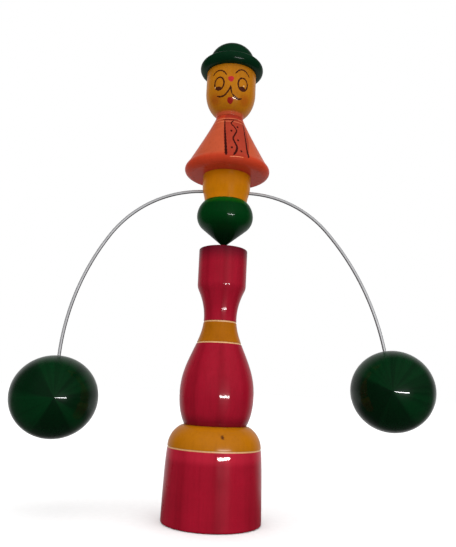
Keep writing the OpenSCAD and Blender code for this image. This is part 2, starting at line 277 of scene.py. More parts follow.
def rounded(points, sharp, blunt):
    """Outline with rounds in place of its corners. They start sharp or blunt far from the corner.

    A round takes up at most ROUND_SHARE of the way to the next corner.
    """
    ways, lengths = directions(points)
    gone = np.concatenate([[0], np.cumsum(lengths)])
    turns = np.arccos(np.clip(np.sum(ways[:-1] * ways[1:], axis=1), -1, 1))
    corners = [i + 1 for i, turn in enumerate(turns) if turn > LEAST_CORNER]
    stops = [0, *corners, len(points) - 1]
    made, done = [], -1
    for k, i in enumerate(corners):
        room = min(gone[i] - gone[stops[k]], gone[stops[k + 2]] - gone[i])
        cut = min(blunt if turns[i - 1] < SHARP_CORNER else sharp, ROUND_SHARE * room)
        start, end = gone[i] - cut, gone[i] + cut
        made += [p for p, s in zip(points, gone) if done < s < start - SPECK]
        a, b = (np.array([np.interp(s, gone, side) for side in points.T]) for s in (start, end))
        c = a + ways[np.searchsorted(gone, start) - 1] * cut * HANDLE
        d = b - ways[np.searchsorted(gone, end) - 1] * cut * HANDLE
        for t in (0, 0.2, 0.4, 0.6, 0.8, 1):
            u = 1 - t
            made.append(u**3 * a + 3 * t * u**2 * c + 3 * t**2 * u * d + t**3 * b)
        done = end + SPECK
    made += [p for p, s in zip(points, gone) if s > done]
    return np.array(made)


def curved(points, step):
    """Smooth curve through the points of an outline, in steps no longer than step.

    Beside a straight that is UNEVEN times as long as the next step, the curve keeps its direction.
    """
    ways, lengths = directions(points)
    tangents = [ways[0]]
    for i in range(1, len(points) - 1):
        before, after = lengths[i - 1], lengths[i]
        if before > UNEVEN * after:
            tangents.append(ways[i - 1])
        elif after > UNEVEN * before:
            tangents.append(ways[i])
        else:
            way = ways[i - 1] * after + ways[i] * before
            tangents.append(way / np.linalg.norm(way))
    tangents.append(ways[-1])
    made = []
    for i, length in enumerate(lengths):
        count = max(2, math.ceil(length / step))
        for k in range(count):
            t = k / count
            made.append(
                (2 * t**3 - 3 * t**2 + 1) * points[i]
                + (t**3 - 2 * t**2 + t) * length * tangents[i]
                + (3 * t**2 - 2 * t**3) * points[i + 1]
                + (t**3 - t**2) * length * tangents[i + 1]
            )
    made.append(points[-1])
    return np.array(made)


def fine_outline(node, below=None, above=None):
    """Smooth outline of a turned CAD node with worn edges, closed to the axis at both ends.

    below and above hold the points of a hollow in the lower or upper end.
    """
    size = sizes()
    points = outer_outline(node)
    start = below or [(0, points[0][1])]
    end = above or [(0, points[-1][1])]
    whole = rounded(np.vstack([start, points, end]), size.edge_round, size.corner_round)
    return curved(whole, size.outline_step)


def seat_recess():
    """Recess in the top of the column for the pivot seat."""
    low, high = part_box("pivot_seat")
    gap = sizes().running_gap
    return [(high.x + gap, STAND_TOP), (high.x + gap, low.z - gap), (0, low.z - gap)]


def ball_hollow():
    """Hollow in the tip of the foot for the pivot ball."""
    low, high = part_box("pivot_ball")
    middle, r = (low.z + high.z) / 2, (high.z - low.z) / 2 + sizes().running_gap
    mouth = math.asin((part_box("foot")[0].z - middle) / r)
    turns = [math.pi / 2 + (mouth - math.pi / 2) * k / 10 for k in range(11)]
    return [(r * math.cos(a), middle + r * math.sin(a)) for a in turns]


# Meshes

SEGMENTS = 144


def new_piece(name, vertices, faces, body):
    mesh = bpy.data.meshes.new(name)
    mesh.from_pydata([tuple(v) for v in vertices], [], faces)
    mesh.validate()
    mesh.shade_smooth()
    piece = bpy.data.objects.new(name, mesh)
    bpy.context.scene.collection.objects.link(piece)
    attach(piece, body)
    return piece


def ring(radius, height, count=SEGMENTS):
    """Points evenly round the Z axis."""
    turns = [2 * math.pi * k / count for k in range(count)]
    return [(radius * math.cos(a), radius * math.sin(a), height) for a in turns]


def lathe(outline):
    """Closed mesh turned about Z from an outline that starts and ends on the axis.

    Returns vertices, faces and the outline step of each face.
    """
    inner = outline[1:-1]
    vertices = [(0, 0, outline[0][1])]
    for r, z in inner:
        vertices += ring(r, z)
    vertices.append((0, 0, outline[-1][1]))
    top = len(vertices) - 1
    last = top - SEGMENTS
    faces, steps = [], []
    for k in range(SEGMENTS):
        n = (k + 1) % SEGMENTS
        faces.append((0, 1 + n, 1 + k))
        steps.append(0)
        for i in range(len(inner) - 1):
            a, b = 1 + i * SEGMENTS, 1 + (i + 1) * SEGMENTS
            faces.append((a + k, a + n, b + n, b + k))
            steps.append(i + 1)
        faces.append((last + k, last + n, top))
        steps.append(len(inner))
    return vertices, faces, steps


def tube_faces(rows, count):
    """Faces of a closed tube whose rows of count points follow one another."""
    faces = [tuple(range(count)), tuple(reversed(range((rows - 1) * count, rows * count)))]
    for i in range(rows - 1):
        a, b = i * count, (i + 1) * count
        for k in range(count):
            n = (k + 1) % count
            faces.append((a + k, b + k, b + n, a + n))
    return faces


def turned_piece(node, body, finishes, band=None, below=None, above=None):
    """Smooth turned piece that stands for a CAD node. band gives the finish at a radius and height."""
    outline = fine_outline(node, below, above)
    vertices, faces, steps = lathe(outline)
    piece = new_piece(node + "_lac", vertices, faces, body)
    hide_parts(node)
    for finish in finishes:
        piece.data.materials.append(finish)
    if band:
        middles = (outline[1:] + outline[:-1]) / 2
        finish_of = [band(r, z) for r, z in middles]
        piece.data.polygons.foreach_set("material_index", [finish_of[s] for s in steps])


# Materials


class Wiring:
    """Small helper that adds and links the nodes of one tree."""

    def __init__(self, tree):
        self.tree = tree

    def node(self, kind, **values):
        made = self.tree.nodes.new(kind)
        for key, value in values.items():
            setattr(made, key, value)
        return made

    def link(self, a, b):
        self.tree.links.new(a, b)

    def feed(self, socket, value):
        if isinstance(value, bpy.types.NodeSocket):
            self.link(value, socket)
        else:
            socket.default_value = value

    def fed(self, kind, operation, values):
        """Outputs of a maths node whose inputs are fed in order."""
        made = self.node(kind, operation=operation)
        for socket, value in zip(made.inputs, values):
            self.feed(socket, value)
        return made.outputs

    def calc(self, operation, *values):
        return self.fed("ShaderNodeMath", operation, values)[0]

    def vector(self, operation, *values):
        return self.fed("ShaderNodeVectorMath", operation, values)

    def scaled(self, vector, scale):
        return self.vector("MULTIPLY", vector, scale)["Vector"]

    def heading(self, vector):
        return self.vector("NORMALIZE", vector)["Vector"]

    def parts(self, vector):
        made = self.node("ShaderNodeSeparateXYZ")
        self.link(vector, made.inputs[0])
        return made.outputs

    def noise(self, vector, scale=1.0, detail=2.0, rough=0.5):
        made = self.node("ShaderNodeTexNoise")
        self.feed(made.inputs["Vector"], vector)
        made.inputs["Scale"].default_value = scale
        made.inputs["Detail"].default_value = detail
        made.inputs["Roughness"].default_value = rough
        return made.outputs["Fac"]

    def spread(self, value, low, high, to_low, to_high, smooth=False):
        """Value taken from the range low to high into the range to_low to to_high."""
        made = self.node("ShaderNodeMapRange", interpolation_type="SMOOTHSTEP" if smooth else "LINEAR")
        self.feed(made.inputs["Value"], value)
        for key, number in zip(("From Min", "From Max", "To Min", "To Max"), (low, high, to_low, to_high)):
            made.inputs[key].default_value = number
        return made.outputs["Result"]

    def mixed(self, share, a, b, blend="MIX"):
        made = self.node("ShaderNodeMix", data_type="RGBA", blend_type=blend)
        self.feed(made.inputs[0], share)
        self.feed(made.inputs[6], a)
        self.feed(made.inputs[7], b)
        return made.outputs[2]

    def times(self, shade, factors):
        return self.mixed(1.0, shade, (*factors, 1), "MULTIPLY")

    def toned(self, share, shade, factors):
        """Shade that is multiplied by factors where share is 1."""
        return self.mixed(share, shade, self.times(shade, factors))

    def bump(self, height, distance, strength):
        made = self.node("ShaderNodeBump")
        made.inputs["Strength"].default_value = strength
        made.inputs["Distance"].default_value = distance
        self.link(height, made.inputs["Height"])
        return made.outputs["Normal"]


class Finish(Wiring):
    """Wiring of one material."""

    def __init__(self, name):
        self.material = bpy.data.materials.new(name)
        self.material.use_nodes = True
        super().__init__(self.material.node_tree)

    def place(self):
        return self.node("ShaderNodeTexCoord").outputs["Object"]

    def dress(self, sockets):
        """Feeds the shader's sockets by name and returns the material."""
        shader = self.tree.nodes["Principled BSDF"]
        for key, value in sockets.items():
            self.feed(shader.inputs[key], value)
        return self.material


def rgba(colour, gain=1.0):
    return tuple(min(1, c * gain) for c in colour) + (1.0,)


def grey(level):
    return (level, level, level, 1)


GRAIN = {"Z": (700, 700, 26), "Y": (700, 26, 700)}


def lac(name, colour, axis="Z", ramps=(), extra=None, gloss=0.3, dull=0.03, marks=0.8, haze=0.0):
    """Glossy lac over turned wood. Each ramp is (from height, to height, colour it turns into).

    gloss and dull are the weight and roughness of the clear coat, marks is how far turning marks
    draw out the highlights under it, and haze is a pale bloom towards the rims.
    """
    f = Finish(name)
    place = f.place()
    along = f.parts(place)[axis]
    shade = rgba(colour)
    for low, high, other in ramps:
        shade = f.mixed(f.spread(along, low, high, 0, 1, True), shade, rgba(other))
    if extra:
        shade = extra(f, place, shade)
    cloud = f.noise(place, 75, 3, 0.55)
    shade = f.toned(f.spread(cloud, 0.35, 0.7, 0, 0.32), shade, (0.62, 0.58, 0.55))
    grain = f.noise(f.scaled(place, GRAIN[axis]), 1, 2, 0.6)
    shade = f.toned(f.spread(grain, 0.5, 0.75, 0, 0.22), shade, (0.55, 0.5, 0.5))
    flat = f.node("ShaderNodeCombineXYZ")
    f.link(f.calc("MULTIPLY", along, 1 / MM), flat.inputs["Z"])
    f.link(f.calc("MULTIPLY", f.noise(place, 40, 1), 0.6), flat.inputs["X"])
    rings = f.noise(flat.outputs[0], 1.6, 3, 0.6)
    shade = f.toned(f.spread(rings, 0.45, 0.7, 0, 0.14), shade, (1.25, 1.2, 1.15))
    peel = f.calc("ADD", f.noise(place, 120, 1, 0.5), f.calc("MULTIPLY", rings, 0.15))
    tangent = f.node("ShaderNodeTangent", direction_type="RADIAL", axis=axis)
    return f.dress(
        {
            "Base Color": shade,
            "Roughness": f.spread(f.noise(place, 160, 4, 0.6), 0.3, 0.75, 0.25, 0.4),
            "Normal": f.bump(f.calc("ADD", rings, grain), 0.04 * MM, 0.5),
            "Specular IOR Level": 0.025,
            "Anisotropic": marks,
            "Anisotropic Rotation": 0.25,
            "Tangent": tangent.outputs[0],
            "Coat Weight": gloss,
            "Coat Roughness": dull,
            "Coat IOR": 1.5,
            "Coat Normal": f.bump(peel, 0.06 * MM, 0.12),
            "Sheen Weight": haze,
            "Sheen Roughness": 0.25,
        }
    )


def bare_wood(name, colour):
    """Pale wood that the tool has cut through the lac."""
    f = Finish(name)
    place = f.place()
    fibres = f.noise(f.scaled(place, (900, 900, 60)), 1, 3, 0.65)
    rings = f.noise(f.scaled(place, (60, 60, 2600)), 1, 2, 0.6)
    shade = f.mixed(f.spread(fibres, 0.35, 0.7, 0, 0.7), rgba(colour), rgba(colour, 0.72))
    return f.dress(
        {
            "Base Color": f.mixed(f.spread(rings, 0.5, 0.8, 0, 0.35), shade, rgba(colour, 0.6)),
            "Roughness": f.spread(fibres, 0.3, 0.7, 0.38, 0.6),
            "Normal": f.bump(f.calc("ADD", fibres, rings), 0.05 * MM, 0.5),
            "Coat Weight": 0.3,
            "Coat Roughness": 0.2,
        }
    )


def enamel(name, colour):
    """Brushed paint, a little thin in places."""
    f = Finish(name)
    thin = f.noise(f.place(), 900, 3, 0.6)
    return f.dress(
        {
            "Base Color": f.mixed(f.spread(thin, 0.4, 0.75, 0, 0.5), rgba(colour), rgba(colour, 1.7)),
            "Roughness": f.spread(thin, 0.3, 0.7, 0.5, 0.65),
            "Normal": f.bump(thin, 0.03 * MM, 0.4),
            "Specular IOR Level": 0.05,
            "Coat Weight": 0.15,
            "Coat Roughness": 0.08,
        }
    )


def metal(name, colour, grain):
    """Turned metal with fine marks along grain and a little tarnish."""
    f = Finish(name)
    place = f.place()
    marks = f.noise(f.scaled(place, grain), 1, 3, 0.6)
    stain = f.noise(place, 120, 4, 0.6)
    dulled = f.spread(stain, 0.5, 0.8, 0, 0.15)
    return f.dress(
        {
            "Base Color": f.mixed(f.spread(stain, 0.45, 0.75, 0, 0.45), rgba(colour), rgba(colour, 0.55)),
            "Metallic": 1.0,
            "Roughness": f.calc("ADD", f.spread(marks, 0.3, 0.7, 0.16, 0.3), dulled),
            "Normal": f.bump(marks, 0.02 * MM, 0.4),
        }
    )


def drawn_steel(name, colour, side):
    """Drawn wire with painted shade along its upper and lower sides and a painted highlight along its front
    and back. The mesh's drawn attribute gives the places on it.
    """
    f = Finish(name)
    drawn = f.node("ShaderNodeAttribute", attribute_name="drawn").outputs["Vector"]
    marks = f.noise(f.scaled(drawn, (5, 5, 60)), 1, 3, 0.6)
    stain = f.noise(f.scaled(drawn, (0.8, 0.8, 130)), 1, 4, 0.6)
    # Painted shade on the upper and lower sides, painted highlight on the front and back
    front = f.calc("ABSOLUTE", f.parts(drawn)["Y"])
    shade = f.mixed(f.spread(front, 0.4, 0.98, 0, 1, True), rgba(side), rgba(colour))
    shade = f.toned(f.spread(stain, 0.4, 0.75, 0, 0.4), shade, (0.6, 0.6, 0.6))
    shade = f.toned(f.spread(marks, 0.45, 0.75, 0, 0.3), shade, (0.7, 0.7, 0.7))
    return f.dress(
        {
            "Base Color": shade,
            "Metallic": 0.35,
            "Roughness": f.spread(marks, 0.3, 0.7, 0.5, 0.6),
            "Normal": f.bump(marks, 0.02 * MM, 0.2),
        }
    )


# Paint on turned pieces

STROKE_PROFILE = (-1, -0.6), (-0.8, 0.35), (-0.4, 0.85), (0, 1), (0.4, 0.85), (0.8, 0.35), (1, -0.6)
DAB_PROFILE = (1, -0.6), (0.92, 0.3), (0.7, 0.75), (0.35, 0.97)


def surface_radius(node):
    """Function that gives the outer radius of a turned CAD node at a height above the stand."""
    size = sizes()
    outline = rounded(outer_outline(node), size.edge_round, size.corner_round)
    outline = curved(outline, size.outline_step)
    order = np.argsort(outline[:, 1], kind="stable")
    heights, radii = outline[order, 1], outline[order, 0]

    def radius(height):
        return float(np.interp(height + STAND_TOP, heights, radii))

    return radius


def front_spot(radius, turn, height):
    """Point at a radius and height, turned from the front (-Y) towards +X."""
    return Vector((radius * math.sin(turn), -radius * math.cos(turn), height))


def on_surface(radius, turn, height, lift):
    """Point lift above a turned surface, turned from the front towards +X."""
    reach = 0.3 * MM
    slope = (radius(height + reach) - radius(height - reach)) / (2 * reach)
    out = front_spot(1, turn, -slope).normalized()
    return front_spot(radius(height), turn, height + STAND_TOP) + out * lift


def stroke(radius, path, width, lift, taper=0.35):
    """Domed brush stroke on a turned surface. path holds (turn in degrees, height in mm) points."""
    mean = sum(radius(h * MM) for _, h in path) / len(path)
    flat = np.array([(math.radians(a) * mean, h * MM) for a, h in path])
    line = curved(flat, 0.3 * MM)
    ways, gone = followed(line)
    vertices = []
    for point, way, s in zip(line, ways, gone):
        end = min(s, gone[-1] - s) / (1.6 * width)
        swell = 1 + 0.14 * math.sin(3.15 * s / width + 40 * point[1])
        half = width / 2 * swell * (taper + (1 - taper) * math.sqrt(min(1, max(0, end))))
        for side, rise in STROKE_PROFILE:
            x = point[0] - way[1] * side * half
            z = point[1] + way[0] * side * half
            vertices.append(on_surface(radius, x / mean, z, rise * lift))
    return vertices, tube_faces(len(line), len(STROKE_PROFILE))


def dab(radius, turn, height, wide, tall, lift, wobble=0.08):
    """Domed dab of paint with a slightly uneven edge. turn is in degrees, height in mm."""
    middle = math.radians(turn), height * MM
    r = radius(middle[1])
    count = 28
    vertices, faces = [], []
    for share, rise in DAB_PROFILE:
        for k in range(count):
            a = 2 * math.pi * k / count
            uneven = math.sin(3 * a + turn) + 0.5 * math.sin(5 * a + height)
            edge = share * (1 + wobble * uneven)
            x, z = wide * edge * math.cos(a), tall * edge * math.sin(a)
            vertices.append(on_surface(radius, middle[0] + x / r, middle[1] + z, rise * lift))
    vertices.append(on_surface(radius, *middle, lift))
    last = (len(DAB_PROFILE) - 1) * count
    for k in range(count):
        n = (k + 1) % count
        for a in range(0, last, count):
            faces.append((a + k, a + n, a + count + n, a + count + k))
        faces.append((last + k, last + n, len(vertices) - 1))
    faces.append(tuple(reversed(range(count))))
    return vertices, faces


def oval_path(turn, height, wide, tall, radius):
    """Points of an oval, once round from its top, as (turn in degrees, height in mm)."""
    r, steps = radius(height * MM), 24
    points = []
    for k in range(steps + 1):
        a = math.pi / 2 + 2 * math.pi * k / steps
        points.append((turn + math.degrees(wide * math.cos(a) / r), height + tall * math.sin(a) / MM))
    return points


def painted(name, strokes, finish):
    """One piece from several strokes and dabs."""
    vertices, faces = [], []
    for some, sides in strokes:
        faces += [tuple(i + len(vertices) for i in side) for side in sides]
        vertices += some
    piece = new_piece(name, vertices, faces, "doll")
    piece.data.materials.append(finish)


# Operators


class DOLL_OT_stand(bpy.types.Operator):
    """Builds the base and the column of the stand, with their pale lines and yellow bands"""

    bl_idname = "doll.stand"
    bl_label = "Stand"

    def execute(self, context):
        size, shade = sizes(), colours()
        half = size.line_width / 2 + 0.02 * MM
        line, wide = size.base_line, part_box("stand_base")[1].x
        pale = bare_wood("pale_line", shade.pale_wood)
        # Painted light on the base just under its pale line, where it faces up
        ramps = [(line - 7 * MM, line - 3 * MM, shade.base_painted_light)]
        red = lac("base_red_lac", shade.red_lac, ramps=ramps, extra=streaks, haze=0.12)
        yellow = lac("shoulder_yellow_lac", shade.yellow_lac, extra=knot, gloss=0.2, dull=0.2)

        def base_band(r, z):
            if abs(z - line) < half and r > 0.6 * wide:
                return 2
            return 1 if z > line else 0

        turned_piece("stand_base", "stand", [red, yellow, pale], base_band)
        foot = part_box("stand_column")[0].z
        ramps = [
            # Darker towards the upper edge of the drum
            (STAND_TOP - 9 * MM, STAND_TOP + 1 * MM, shade.drum_top_darker),
            # Painted shade on the underside of the bulb just above the base
            (foot + 6 * MM, foot + 1 * MM, shade.bulb_painted_shade),
        ]
        red = lac("column_red_lac", shade.red_lac, ramps=ramps, extra=streaks, dull=0.08, haze=0.04)
        neck = lac("neck_yellow_lac", shade.band_lac)

        def column_band(r, z):
            if min(abs(z - size.upper_line), abs(z - size.lower_line)) < half:
                return 2
            return 1 if size.lower_line < z < size.upper_line else 0

        finishes = [red, neck, pale]
        turned_piece("stand_column", "stand", finishes, column_band, above=seat_recess())
        return {"FINISHED"}


def streaks(f, place, shade):
    """Uneven upright streaks in the lac round a turned piece."""
    wide = f.noise(f.heading(f.scaled(place, (1, 1, 0))), 2.0, 2, 0.5)
    return f.toned(f.spread(wide, 0.4, 0.64, 0, 0.6, True), shade, (0.72, 0.5, 0.6))


def knot(f, place, shade):
    """A small dark knot in the front of the yellow shoulder."""
    spot = front_spot(20.5 * MM, math.radians(10.5), 40 * MM)
    offset = f.vector("SUBTRACT", place, spot)["Vector"]
    uneven = f.node("ShaderNodeTexNoise")
    f.link(place, uneven.inputs["Vector"])
    uneven.inputs["Scale"].default_value = 900
    warp = 1.2 * MM
    shift = f.vector("MULTIPLY_ADD", uneven.outputs["Color"], (warp,) * 3, (-warp / 2,) * 3)["Vector"]
    warped = f.vector("ADD", f.scaled(offset, (1, 1, 0.5)), shift)["Vector"]
    away = f.vector("LENGTH", warped)["Value"]
    return f.mixed(f.spread(away, 0.4 * MM, 1.2 * MM, 0.85, 0, True), shade, (0.06, 0.012, 0.004, 1))


class DOLL_OT_pivot(bpy.types.Operator):
    """Finishes the steel ball and the brass seat of the pivot"""

    bl_idname = "doll.pivot"
    bl_label = "Pivot"

    def execute(self, context):
        finishes = {
            "pivot_seat": metal("turned_brass", colours().brass, (2000, 2000, 60)),
            "pivot_ball": metal("ball_steel", colours().steel, (600, 600, 600)),
        }
        for node, finish in finishes.items():
            dress_node(node, finish)
        return {"FINISHED"}


def dress_node(node, finish):
    """Gives a CAD node a finish."""
    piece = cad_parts[node]
    piece.data.materials.clear()
    piece.data.materials.append(finish)


class DOLL_OT_dowels(bpy.types.Operator):
    """Finishes the hidden dowels as bare wood"""

    bl_idname = "doll.dowels"
    bl_label = "Dowels"

    def execute(self, context):
        finish = bare_wood("dowel_wood", colours().pale_wood)
        for node in ("stand_dowel", "body_dowel", "neck_dowel", "hat_dowel"):
            dress_node(node, finish)
        return {"FINISHED"}


class DOLL_OT_foot(bpy.types.Operator):
    """Builds the green pointed foot"""

    bl_idname = "doll.foot"
    bl_label = "Foot"

    def execute(self, context):
        shade, top = colours(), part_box("foot")[1].z
        ramps = [
            # Painted shade towards the tip of the foot
            (STAND_TOP + 15 * MM, STAND_TOP + 6 * MM, shade.foot_painted_shade),
            # Painted light just under the waist, where the foot faces up
            (top - 4 * MM, top - 1.5 * MM, shade.foot_painted_light),
        ]
        finish = lac("foot_green_lac", shade.foot_lac, ramps=ramps, gloss=0.16, dull=0.06)
        turned_piece("foot", "doll", [finish], below=ball_hollow())
        return {"FINISHED"}


class DOLL_OT_waist(bpy.types.Operator):
    """Builds the yellow waist"""

    bl_idname = "doll.waist"
    bl_label = "Waist"

    def execute(self, context):
        turned_piece("waist", "doll", [lac("waist_yellow_lac", colours().waist_lac)])
        return {"FINISHED"}


class DOLL_OT_tunic(bpy.types.Operator):
    """Builds the orange tunic and the painted panel down its front"""

    bl_idname = "doll.tunic"
    bl_label = "Tunic"

    def execute(self, context):
        shade = colours()
        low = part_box("tunic")[0].z
        ramps = [
            (low + 7 * MM, low + 3 * MM, shade.rim_lac),
            (STAND_TOP + 69.5 * MM, STAND_TOP + 70.2 * MM, shade.rim_lac),
        ]
        finish = lac("tunic_orange_lac", shade.orange_lac, ramps=ramps, extra=front_panel, gloss=0.07)
        turned_piece("tunic", "doll", [finish])
        radius = surface_radius("tunic")
        width, lift = paint().panel_line, paint().paint_height
        left = (-15.5, 68.2), (-11, 63), (-7.4, 57.7), (-4.1, 50.8), (-1.7, 43)
        right = (53, 68.2), (46, 64.5), (39.2, 60), (34, 54), (30.7, 49.6), (28.2, 42.9)
        top = (-24, 68.4), (4, 68.3), (33, 69)
        wave = (15, 67.9), (6, 65.8), (14, 63.3), (18.6, 61), (13.5, 58)
        wave += (9, 55.2), (11.6, 52), (14, 49.2), (12.6, 46.8), (8, 43.3)
        lines = [
            stroke(radius, left, 1.1 * width, lift),
            stroke(radius, right, 0.8 * width, lift),
            stroke(radius, top, 0.5 * width, lift),
            stroke(radius, wave, 0.95 * width, lift, taper=0.6),
        ]
        dots = (6, 60.3), (23.2, 63.5), (18, 54), (5.9, 48.5), (19.7, 46.6)
        lines += [dab(radius, turn, height, 0.58 * MM, 0.74 * MM, lift) for turn, height in dots]
        painted("tunic_front_lines", lines, enamel("tunic_paint", shade.line_paint))
        # Pale line along the bottom of the front panel
        worn = [stroke(radius, [(2.8, 42.3), (12, 42.6), (21, 42.6)], 0.4 * width, lift)]
        painted("tunic_pale_line", worn, enamel("pale_line_paint", shade.pale_lac))
        return {"FINISHED"}


def front_panel(f, place, shade):
    """Redder panel between the two painted lines of the tunic, and two pale rings round its collar."""
    x, y, z = f.parts(place)
    turn = f.calc("ARCTAN2", x, f.calc("MULTIPLY", y, -1.0))
    low, high = (STAND_TOP + h * MM for h in (43, 69))
    left = f.calc("SUBTRACT", turn, f.spread(z, low, high, math.radians(-2), math.radians(-17)))
    right = f.calc("SUBTRACT", f.spread(z, low, high, math.radians(28), math.radians(58)), turn)
    inside = f.spread(z, low - 0.5 * MM, low + 0.5 * MM, 0, 0.75, True)
    for edge in (left, right):
        inside = f.calc("MULTIPLY", inside, f.spread(edge, -0.01, 0.02, 0, 1, True))
    shade = f.mixed(inside, shade, rgba(colours().panel_lac))
    for height in (69.2, 67.1):
        worn = f.calc("COMPARE", z, STAND_TOP + height * MM, 0.22 * MM)
        shade = f.mixed(f.calc("MULTIPLY", worn, 0.7), shade, rgba(colours().pale_lac))
    return shade


class DOLL_OT_head(bpy.types.Operator):
    """Builds the head with its painted face"""

    bl_idname = "doll.head"
    bl_label = "Head"

    def execute(self, context):
        shade, size = colours(), paint()
        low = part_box("head")[0].z
        # Painted reflection of the tunic and painted shade on the neck under the chin
        ramps = [(low + 3 * MM, low + 1.3 * MM, shade.neck_painted_reflection)]
        finish = lac("head_yellow_lac", shade.face_lac, ramps=ramps, extra=cheeks, dull=0.1)
        turned_piece("head", "doll", [finish])
        radius = surface_radius("head")
        width, lift = size.face_line, size.paint_height
        turn, height = math.degrees(size.eye_turn), size.eye_height / MM
        lines = []
        for side in (-1, 1):
            oval = oval_path(side * turn, height, size.eye_wide, size.eye_tall, radius)
            lines.append(stroke(radius, oval, 1.05 * width, lift, taper=1))
        for pupil, wide, tall in (((-30.5, 84.3), 1.75, 1.05), ((27.6, 84.3), 2.0, 1.3)):
            lines.append(dab(radius, *pupil, wide * MM, tall * MM, 1.3 * lift))
        for path, share in (
            ([(-47.3, 92.2), (-37.3, 94), (-26.2, 94.3), (-17.4, 93.3), (-10.6, 91.3)], 0.9),
            ([(8.9, 92.2), (16, 94.1), (24, 95), (32, 94.8), (39.4, 93.7), (45.7, 92.2)], 0.9),
            ([(-0.7, 85.3), (0.6, 83.2), (2.9, 81.3)], 1.0),
            ([(-0.6, 85.1), (-2.6, 83.6), (-7, 82.1), (-15, 80.4), (-25.4, 79.9), (-35.7, 80.5)], 1.0),
            ([(3, 81.2), (12.4, 79.6), (21.5, 79), (30.8, 79.6)], 1.0),
        ):
            lines.append(stroke(radius, path, share * width, lift))
        painted("face_lines", lines, enamel("face_line_paint", shade.face_paint))
        spot = dab(radius, -0.4, size.dot_height / MM, size.dab_size, size.dab_size, lift)
        painted("forehead_dot", [spot], enamel("dot_paint", shade.dab_paint))
        glints = [dab(radius, *place, 0.42 * MM, 0.5 * MM, 1.2 * lift) for place in ((-38.2, 85), (30, 86))]
        painted("eye_glints", glints, enamel("glint_paint", shade.pale_wood))
        mouth = dab(radius, -0.3, size.mouth_height / MM, size.dab_size, size.dab_size, lift, wobble=0.04)
        painted("mouth", [mouth], enamel("red_mouth_paint", shade.mouth_paint))
        return {"FINISHED"}


def cheeks(f, place, shade):
    """Two soft red smudges in the lac of the head."""
    for turn in (-44, 40):
        spot = front_spot(13 * MM, math.radians(turn), STAND_TOP + 78.5 * MM)
        away = f.vector("DISTANCE", place, spot)["Value"]
        mask = f.spread(away, 1.5 * MM, 5 * MM, 0.6, 0, True)
        shade = f.mixed(mask, shade, rgba(colours().cheek_lac))
    return shade


class DOLL_OT_hat(bpy.types.Operator):
    """Builds the green hat"""

    bl_idname = "doll.hat"
    bl_label = "Hat"

    def execute(self, context):
        finish = lac("hat_green_lac", colours().hat_lac, gloss=0.14, dull=0.14)
        turned_piece("hat", "doll", [finish])
        return {"FINISHED"}


class DOLL_OT_balls(bpy.types.Operator):
    """Builds the two balls, a little flat along the wire, with a low turning pip at front and back"""

    bl_idname = "doll.balls"
    bl_label = "Balls"

    def execute(self, context):
        size = sizes()
        for node, tall, side, slope, wedges in (
            ("left_ball", size.left_ball_tall, -1, size.left_turn + size.left_far_turn, LEFT_REFLECTION_FANS),
            ("right_ball", size.right_ball_tall, 1, size.right_turn + size.right_far_turn, RIGHT_REFLECTION_FANS),
        ):
            low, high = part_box(node)
            middle, r = (low + high) / 2, (high.y - low.y) / 2
            vertices, faces, _ = lathe(ball_outline(r))
            turn = Matrix.Rotation(-side * size.ball_turn, 3, "Z")
            wire = turn.transposed() @ Vector((side * math.cos(slope), 0, -math.sin(slope)))
            upright = [Vector((x, z, -y)) for x, y, z in vertices]
            vertices = [v + wire * v.dot(wire) * (tall / (2 * r) - 1) for v in upright]
            piece = new_piece(node + "_lac", vertices, faces, "doll")
            piece.location, piece.rotation_euler = middle, turn.to_euler()
            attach(piece, "doll")
            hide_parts(node)
            # Painted reflections as darker fan shapes round the pips
            colour, look = colours().ball_lac, painted_reflection_fans(wedges)
            finish = lac(node + "_green_lac", colour, "Y", extra=look, marks=0, haze=0.22)
            piece.data.materials.append(finish)
        return {"FINISHED"}


def ball_outline(r):
    """Half round outline of a ball, with a low pip at each end."""
    size, steps = sizes(), 96
    outline = []
    for k in range(steps + 1):
        a = math.pi * k / steps
        across = r * math.sin(a)
        rise = size.pip_height * max(0, 1 - across / size.pip_width) ** 2
        outline.append((across, math.copysign(r * abs(math.cos(a)) + rise, -math.cos(a))))
    return np.array(outline)


# Painted reflections: the darker fan shapes on each ball as (turn from the top, half width, depth)
LEFT_REFLECTION_FANS = (-58, 26, 0.7), (176, 30, 0.75), (100, 22, 0.6), (40, 10, 0.3)
RIGHT_REFLECTION_FANS = (-112, 46, 0.85), (172, 28, 0.7), (78, 16, 0.3), (0, 7, 0.25)
REFLECTION_FAN_BLUR = 7


def painted_reflection_fans(wedges):
    """Painted reflections as darker fan shapes round a ball's pips, each (turn from the top, half width,
    depth).

    Turn and half width are in degrees, and so is the blur of a fan's edges.
    """

    def look(f, place, shade):
        dark = f.times(shade, (0.4, 0.36, 0.4))
        # Painted reflections: uneven darker streaks fanning out round the pips
        uneven = f.noise(f.heading(f.scaled(place, (1, 0, 1))), 3.5, 3, 0.6)
        shade = f.mixed(f.spread(uneven, 0.45, 0.65, 0, 0.4, True), shade, dark)
        x, _, z = f.parts(place)
        turn = f.calc("ARCTAN2", x, z)
        for middle, half, depth in wedges:
            away = f.calc("WRAP", f.calc("ADD", turn, -math.radians(middle)), math.pi, -math.pi)
            inner, outer = (math.radians(half + blur) for blur in (-REFLECTION_FAN_BLUR, REFLECTION_FAN_BLUR))
            mask = f.spread(f.calc("ABSOLUTE", away), inner, outer, depth, 0, True)
            shade = f.mixed(mask, shade, dark)
        return shade

    return look


def arm_points(start, bends, tail):
    """Points (x, z) of an arm of the wire: its bends (radius, turn) from start on, then a straight tail."""
    x, z = start
    slope, points, steps = 0.0, [start], 40
    for radius, turn in bends:
        for k in range(1, steps + 1):
            a = slope + turn * k / steps
            across = radius * (math.sin(a) - math.sin(slope))
            down = radius * (math.cos(slope) - math.cos(a))
            points.append((x + across, z - down))
        x, z = points[-1]
        slope += turn
    points.append((x + tail * math.cos(slope), z - tail * math.sin(slope)))
    return points


